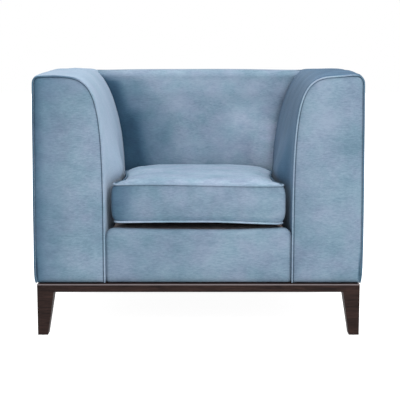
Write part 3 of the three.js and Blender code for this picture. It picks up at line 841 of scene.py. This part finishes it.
def make_rail():
    """The padded front rail: flat face, soft top edge and rounded top corners."""
    face_y = rail_low.y
    top = rail_high.z
    roll = 0.012
    section = [(face_y, z) for z in spaced(rail_low.z, top - roll, 0.012, 0.02, 5)]
    turn = np.linspace(0, math.pi / 2, 7)[1:]
    section += [(face_y + roll * (1 - math.cos(a)), top - roll + roll * math.sin(a)) for a in turn]
    section += [(y, top - 0.001) for y in np.linspace(face_y + roll, face_y + roll + 0.020, 5)[1:]]
    section = np.array(section)
    half = rail_high.x + 0.0050
    tuck = 0.012  # carried on behind the arms' fronts
    x = spaced(-half - tuck, half + tuck, 0.016, 0.048, 17)
    corner = 0.034
    beyond = np.clip(np.abs(x) - (half - corner), 0, corner)
    sag = SEAT_SAG * np.clip(1 - (np.abs(x) / (half - 0.02)) ** 2, 0, 1) ** 0.6
    ceiling = top - sag - corner + np.sqrt(corner ** 2 - beyond ** 2)
    yy = np.repeat(section[:, 0][:, None], len(x), 1)
    share = (section[:, 1] - rail_low.z) / (top - rail_low.z)
    zz = rail_low.z + share[:, None] * (ceiling - rail_low.z)[None, :]
    xx = np.repeat(x[None, :], len(section), 0)
    edge = np.maximum(half - np.abs(xx), 0)
    low = np.clip((zz - rail_low.z) / 0.008, 0, 5)
    yy = yy + 0.0085 * np.exp(-((edge / 0.0085) ** 2.2)) + 0.003 * np.exp(-low)
    grid = np.stack([xx, yy, zz], -1)
    swell = (1 - np.exp(-edge / 0.03)) * np.clip(share[:, None] / 0.15, 0, 1)
    flat = grid.reshape(-1, 3)
    grid[..., 1] -= (rng_noise(flat, 0.10, 61) * 0.0022).reshape(xx.shape) * swell
    upper = np.clip(share[:, None] * 2 - 1, 0, 1)
    grid[..., 2] += (rng_noise(flat, 0.09, 63) * 0.0012).reshape(xx.shape) * upper
    rail = shell("front_rail", grid, RAIL_SKIN, (0, -1, 0.4))
    finish_piece(rail, "frame", "velvet", "front_rail_cover", rail_painted_light)


# Painted light: the rail is lighter towards its right end.
def rail_painted_light(points):
    return 0.95 + 0.10 * ease(points[:, 0], -0.20, 0.20)


def make_deck():
    """The platform under the cushion: lining cloth over felt, tied down in shallow rows."""
    x = spaced(deck_low.x - 0.003, deck_high.x + 0.003, 0.02, 0.02, 5)
    y = spaced(rail_low.y + 0.033, deck_high.y, 0.02, 0.02, 5)
    xx, yy, edge = to_border(x, y)
    slope = (yy - y[0]) / (y[-1] - y[0])
    fall = 0.0230  # from its front edge to its rear
    zz = deck_high.z - SEAT_SAG * np.clip(1 - (xx / rail_high.x) ** 2, 0, 1) ** 0.6 - 0.0010 - fall * slope
    zz = zz - 0.004 * np.exp(-edge / 0.006) - 0.0015 * np.cos(2 * math.pi * yy / 0.12) ** 8
    deck = shell("deck_cover", np.stack([xx, yy, zz], -1), DECK_SKIN, (0, 0, 1))
    finish_piece(deck, "frame", "deck_cloth", "seat_deck")


def make_dust_cover():
    """Thin black cloth stapled under the frame, which sags a little between its edges."""
    low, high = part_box("dust_cover")
    x = spaced(low.x, high.x, 0.03, 0.02, 4)
    y = spaced(low.y, high.y, 0.03, 0.02, 4)
    xx, yy, edge = to_border(x, y)
    sag = ease(edge, 0.045, 0.30)  # none where it lies on the plinth along its edges
    sheet = np.stack([xx, yy, high.z - 0.004 * sag], -1)
    sheet = ripple(sheet, 0.0006, 0.07, 65, sag)
    cloth = shell("dust_sheet", sheet, CLOTH_SKIN, (0, 0, 1))
    finish_piece(cloth, "frame", "dust_cloth", "dust_cover")


make_rail()
make_deck()
make_dust_cover()

# --- Seat cushion ---

CUSHION = {
    "half_width": 0.2505,
    "depth": 0.578,
    "base": 0.322,
    "pitch": math.radians(2.5),
    "corner": 0.014,
    "bottom_corner": 0.012,  # added to it at the bottom seam
    "rear_corner": {-1: 0.070, 1: 0.055},
    # how far the boxing swells at the front corners, and along the front, the sides and the rear
    "corner_bulge": 0.0080,
    "front_bulge": 0.0050,
    "side_bulge": 0.0052,
    "rear_bulge": 0.0005,
    "top_seam": 0.1215,
    "bottom_seam": 0.0160,
    "crown": 0.0080,
    "piping": 0.0029,
    "seam_out": 0.0016,  # how far the piping stands out from the seam
    "waist": 0.0195,  # how far the sides pull in between the arms
    "end_pull": 0.003,  # and the front and rear between their corners
}
cushion_turn = Euler((-CUSHION["pitch"], 0, 0)).to_matrix().to_4x4()
cushion_place = Matrix.Translation((0, CUSHION_FRONT, CUSHION["base"])) @ cushion_turn


def cushion_edge(q, out=0.0, low=0.0):
    """The seam's place in plan for a point q on the square from -1 to 1: nearly square front corners,
    rounder rear ones, and sides that pull in between them. low is 1 at the bottom seam and 0 above it."""
    u, v = q
    half_x = CUSHION["half_width"] + out
    half_y = CUSHION["depth"] / 2 + out
    x, y = u * half_x, v * half_y
    if abs(u) >= abs(v):
        pressed = float(squeeze(CUSHION_FRONT + y + CUSHION["depth"] / 2))
        x -= math.copysign(CUSHION["waist"] * pressed, u)
    else:
        y -= math.copysign(CUSHION["end_pull"] * (1 - u ** 2), v)
    radius = CUSHION["corner"] + CUSHION["bottom_corner"] * low
    if v > 0:
        radius = CUSHION["rear_corner"][1 if u > 0 else -1]
    else:
        x -= math.copysign(0.0035 * low * abs(u * v) ** 4, u)
    over_x, over_y = abs(x) - (half_x - radius), abs(y) - (half_y - radius)
    if over_x > 0 and over_y > 0:
        length = math.hypot(over_x, over_y)
        if length > radius:
            x = math.copysign(half_x - radius + over_x * radius / length, x)
            y = math.copysign(half_y - radius + over_y * radius / length, y)
    return x, y + CUSHION["depth"] / 2


def seam_height(u, v, top):
    """The height of the cushion's top or bottom seam at points (u, v) of the square from -1 to 1: the front
    edge rises or hangs a little towards each end, and the rear corners droop."""
    ears = (np.abs(u) * np.maximum(-v, 0.0)) ** 4
    front = ease(-v, 0.3, 1.0)
    if top:
        droop = np.where(u > 0, 0.0085, 0.0100) * ease(v, 0.3, 1.0) * np.abs(u) ** 8
        lift = 0.0055 * ease(-u, -0.9, 0.6) * front
        return CUSHION["top_seam"] + np.where(u > 0, 0.0015, -0.0010) * ears + lift - droop
    hang = 0.0060 * ease(u, 0.1, 1.0) + 0.0012 * ease(-u, 0.3, 1.0)
    return CUSHION["bottom_seam"] - hang * front


def square_loop(count_x, count_y):
    """Points in order round the square from -1 to 1."""
    xs, ys = np.linspace(-1, 1, count_x), np.linspace(-1, 1, count_y)
    loop = [(x, -1.0) for x in xs[:-1]] + [(1.0, y) for y in ys[:-1]]
    loop += [(x, 1.0) for x in xs[:0:-1]] + [(-1.0, y) for y in ys[:0:-1]]
    return loop


def cushion_panel(count_x, count_y, top, inset):
    """The top or bottom of the cushion as a grid of points, crowned or resting flat."""
    xs, ys = np.linspace(-1, 1, count_x), np.linspace(-1, 1, count_y)
    points = []
    for u in xs:
        for v in ys:
            m = max(abs(u), abs(v))
            q = (u / m, v / m) if m > 0 else (1.0, 0.0)
            ex, ey = cushion_edge(q, -inset, 0.0 if top else 1.0)
            middle = CUSHION["depth"] / 2
            x, y = ex * m, middle + (ey - middle) * m
            seam = float(seam_height(*q, top))
            if top:
                crown = (1 - abs(u) ** 2.8) ** 0.75 * (1 - abs(v) ** 4.5) ** 0.7
                crown *= 1 - 0.35 * float(ease(v, 0.0, 0.8)) - 0.25 * float(ease(u, 0.2, 0.8))
                z = seam * m ** 6 + CUSHION["top_seam"] * (1 - m ** 6) + CUSHION["crown"] * crown - inset
            else:
                z = (seam - 0.002) * m ** 5 + 0.0012 * (1 - m ** 5) + inset
            points.append((x, y, z))
    return np.array(points)


def make_cushion(name, inset=0.0, count_x=45, count_y=51, rows=11):
    """A box cushion, or the foam inset from it, and the set of the vertices on its seams."""
    top = cushion_panel(count_x, count_y, True, inset)
    bottom = cushion_panel(count_x, count_y, False, inset)
    points = [*top, *bottom]
    base = len(top)
    faces = grid_faces(count_x, count_y)
    faces += grid_faces(count_x, count_y, base, flip=True)
    order = [i * count_y for i in range(count_x - 1)]
    order += [(count_x - 1) * count_y + j for j in range(count_y - 1)]
    order += [i * count_y + count_y - 1 for i in range(count_x - 1, 0, -1)]
    order += list(range(count_y - 1, 0, -1))
    loop = square_loop(count_x, count_y)
    rings = [[base + k for k in order]]
    for r in range(1, rows):
        t = r / rows
        ring = []
        for q in loop:
            swell = 1 - abs(2 * t - 1) ** 3.2
            bulge = "side_bulge"
            if q[1] > 0.99:
                bulge = "rear_bulge"
            elif q[1] < -0.85:
                bulge = "corner_bulge" if abs(q[0]) > 0.97 else "front_bulge"
            ox, oy = cushion_edge(q, CUSHION[bulge] * swell - inset, max(0.0, 1 - t / 0.35) ** 2)
            low = float(seam_height(*q, False)) + inset
            high = float(seam_height(*q, True)) - inset
            ring.append(len(points))
            points.append((ox, oy, low + (high - low) * t))
        rings.append(ring)
    rings.append(list(order))
    for lower, upper in zip(rings[:-1], rings[1:]):
        for a, b in zip(range(len(lower)), list(range(1, len(lower))) + [0]):
            faces.append((lower[a], lower[b], upper[b], upper[a]))
    piece = new_mesh(name, points, faces)
    face_outward(piece)
    return piece, set(order) | {base + k for k in order}


def swell_cloth(piece, pinned, pressure, most, frames=20):
    """Inflates a piece as cloth with its seams held, and limits how far any point may move."""
    before = np.array([v.co for v in piece.data.vertices])
    group = piece.vertex_groups.new(name="seams")
    group.add(sorted(pinned), 1.0, "REPLACE")
    modifier = piece.modifiers.new("cloth", "CLOTH")
    settings = modifier.settings
    for key, value in (
        ("quality", 6), ("mass", 0.35), ("use_pressure", True), ("uniform_pressure_force", pressure),
        ("tension_stiffness", 18), ("compression_stiffness", 18), ("shear_stiffness", 8),
        ("bending_stiffness", 1.2), ("shrink_min", -0.018), ("vertex_group_mass", "seams"),
    ):
        setattr(settings, key, value)
    settings.effector_weights.gravity = 0
    modifier.collision_settings.use_self_collision = False
    modifier.point_cache.frame_start = 1
    modifier.point_cache.frame_end = frames
    for step in range(1, frames + 1):
        SCENE.frame_set(step)
    evaluated = piece.evaluated_get(bpy.context.evaluated_depsgraph_get())
    after = np.array([v.co for v in evaluated.data.vertices])
    piece.modifiers.remove(modifier)
    SCENE.frame_set(1)
    move = after - before
    length = np.linalg.norm(move, axis=1, keepdims=True)
    move *= np.minimum(1.0, most / np.maximum(length, 1e-9))
    piece.data.vertices.foreach_set("co", (before + move).astype(np.float32).ravel())
    piece.data.update()


def settle(piece, before):
    """Holds the rear boxing at the plane that the zip is sewn to, the sides clear of the arms, and the
    underside where it rests."""
    for vertex, start in zip(piece.data.vertices, before):
        vertex.co.y = min(vertex.co.y, CUSHION["depth"] + 0.0004)
        pressed = float(squeeze(CUSHION_FRONT + vertex.co.y))
        side = CUSHION["half_width"] + CUSHION["corner_bulge"] - (CUSHION["waist"] + 0.0062) * pressed
        vertex.co.x = max(-side, min(side, vertex.co.x))
        if start[2] < CUSHION["bottom_seam"] + 0.0005:
            vertex.co = start


def top_welt_painted_shading(points):
    """Painted highlight along the front, and painted shade down the sides, where it sinks between the cushion
    and the arms.
    """
    return 1.25 - 0.90 * ease(points[:, 1], -0.385, -0.345)


# Painted highlight: the bottom piping is lighter all round.
def bottom_welt_painted_highlight(points):
    return np.full(len(points), 1.45)


def cushion_seam(name, top):
    """The piping round the cushion's top or bottom edge; the bottom one is a little fatter."""
    loop = square_loop(121, 141)
    line = np.array([(*cushion_edge(q, CUSHION["seam_out"], 0.0 if top else 1.0), 0.0) for q in loop])
    u, v = np.array(loop).T
    line[:, 2] = seam_height(u, v, top)
    radius = CUSHION["piping"] * (1.0 if top else 1.15)
    wobble = 1 + 0.06 * rng_noise(line, 0.018, 71 + top)
    cord = tube(name, line, radius * wobble, 10, closed=True)
    cord.data.transform(cushion_place)
    return cord


def cushion_painted_shading(points):
    """Painted light and shade on the cushion: its boxing is darker towards its left end and in the creases
    beside its piping, and its top lighter, more so on the right.
    """
    local = np.c_[points, np.ones(len(points))] @ np.array(cushion_place.inverted()).T
    u = np.clip(local[:, 0] / CUSHION["half_width"], -1, 1)
    v = np.clip(2 * local[:, 1] / CUSHION["depth"] - 1, -1, 1)
    below = seam_height(u, v, True) - local[:, 2]
    above = local[:, 2] - seam_height(u, v, False)
    x = points[:, 0] + 0.020 * rng_noise(points, 0.06, 95)
    boxing = 0.44 + 0.57 * ease(x, -0.262, -0.150) + 0.03 * ease(x, 0.05, 0.24)
    # painted shade in the creases just under the top piping and just over the bottom piping
    boxing = boxing * (1 - 0.80 * np.exp(-(((below - 0.0043) / 0.0027) ** 2)))
    boxing = boxing * (1 - 0.35 * np.exp(-(((above - 0.0065) / 0.0035) ** 2)))
    top = ease(-below, -0.0010, 0.0035)
    return boxing * (1 - top) + (1.34 + 0.30 * ease(points[:, 0], 0.08, 0.24)) * top


cushion, cushion_pins = make_cushion("cushion")
cushion_start = [v.co.copy() for v in cushion.data.vertices]
swell_cloth(cushion, cushion_pins, pressure=2.5, most=0.011)
settle(cushion, cushion_start)
cushion.data.transform(cushion_place)
subdivide(cushion)
finish_piece(cushion, "seat_cushion", "velvet", "cushion_cover", cushion_painted_shading)
filling = make_cushion("cushion_foam", inset=0.008, count_x=23, count_y=27, rows=6)[0]
filling.data.transform(cushion_place)
finish_piece(filling, "seat_cushion", "foam", "cushion_core")
for end, is_top, painted_shading in (("top", True, top_welt_painted_shading), ("bottom", False, bottom_welt_painted_highlight)):
    welt = cushion_seam("cushion_welt_" + end, is_top)
    finish_piece(welt, "seat_cushion", "velvet_piping", "cushion_piping_" + end, painted_shading)

# --- Camera, light and floor ---


def add_light(name, place, target, size, power, color=(1, 1, 1)):
    data = bpy.data.lights.new(name, "AREA")
    data.shape = "RECTANGLE"
    data.size, data.size_y = size
    data.energy = power
    data.color = color
    light = bpy.data.objects.new(name, data)
    light.location = place
    light.rotation_mode = "QUATERNION"
    light.rotation_quaternion = (Vector(place) - Vector(target)).to_track_quat("Z", "Y")
    SCENE.collection.objects.link(light)


CAMERA_PLACE = (0.0035, -2.92, 0.8628)
CAMERA_PITCH = 6.64  # degrees, looking down


def make_camera():
    data = bpy.data.cameras.new("camera")
    data.sensor_width = 36
    data.lens = 78.08
    data.shift_y = -0.14
    data.shift_x = 0.001
    camera = bpy.data.objects.new("camera", data)
    camera.location = CAMERA_PLACE
    camera.rotation_euler = (math.radians(90 - CAMERA_PITCH), 0, 0)
    SCENE.collection.objects.link(camera)
    SCENE.camera = camera


def make_floor():
    material, _, shader = node_material("floor_paper", 0.9)
    for key, value in (
        ("Base Color", (0.50, 0.50, 0.50, 1)), ("Specular IOR Level", 0.1),
        ("Emission Color", (1, 1, 1, 1)), ("Emission Strength", 0.93),
    ):
        shader.inputs[key].default_value = value
    corners = [(-9, -6, FLOOR), (9, -6, FLOOR), (9, 12, FLOOR), (-9, 12, FLOOR)]
    floor = new_mesh("floor", corners, [(0, 1, 2, 3)])
    floor.data.materials.append(material)


def make_world():
    """A white studio: seen directly it is white, and its light is softer below than above."""
    world = bpy.data.worlds.new("studio")
    world.use_nodes = True
    tree = world.node_tree
    back = tree.nodes["Background"]
    direction = add_node(tree, "ShaderNodeTexCoord").outputs["Generated"]
    split = add_node(tree, "ShaderNodeSeparateXYZ", Vector=direction)
    height = math_node(tree, "MULTIPLY", math_node(tree, "ADD", split.outputs["Z"], 1.0), 0.5)
    stops = [(0.42, (0.40, 0.40, 0.41)), (0.60, (0.56, 0.56, 0.57)), (0.95, grey(1.25))]
    light = ramp(tree, height, stops)
    seen = add_node(tree, "ShaderNodeLightPath").outputs["Is Camera Ray"]
    tree.links.new(mix(tree, seen, light, (1, 1, 1, 1)), back.inputs["Color"])
    back.inputs["Strength"].default_value = 1.0
    SCENE.world = world


make_camera()
make_floor()
make_world()
seat_centre = (0, 0, 0.45)
add_light("key", (1.5, -2.9, 2.8), seat_centre, (1.4, 1.4), 80)
add_light("top", (0.0, -0.2, 3.2), seat_centre, (2.4, 2.4), 46)
SCENE.view_settings.view_transform = "Standard"
SCENE.view_settings.look = "None"
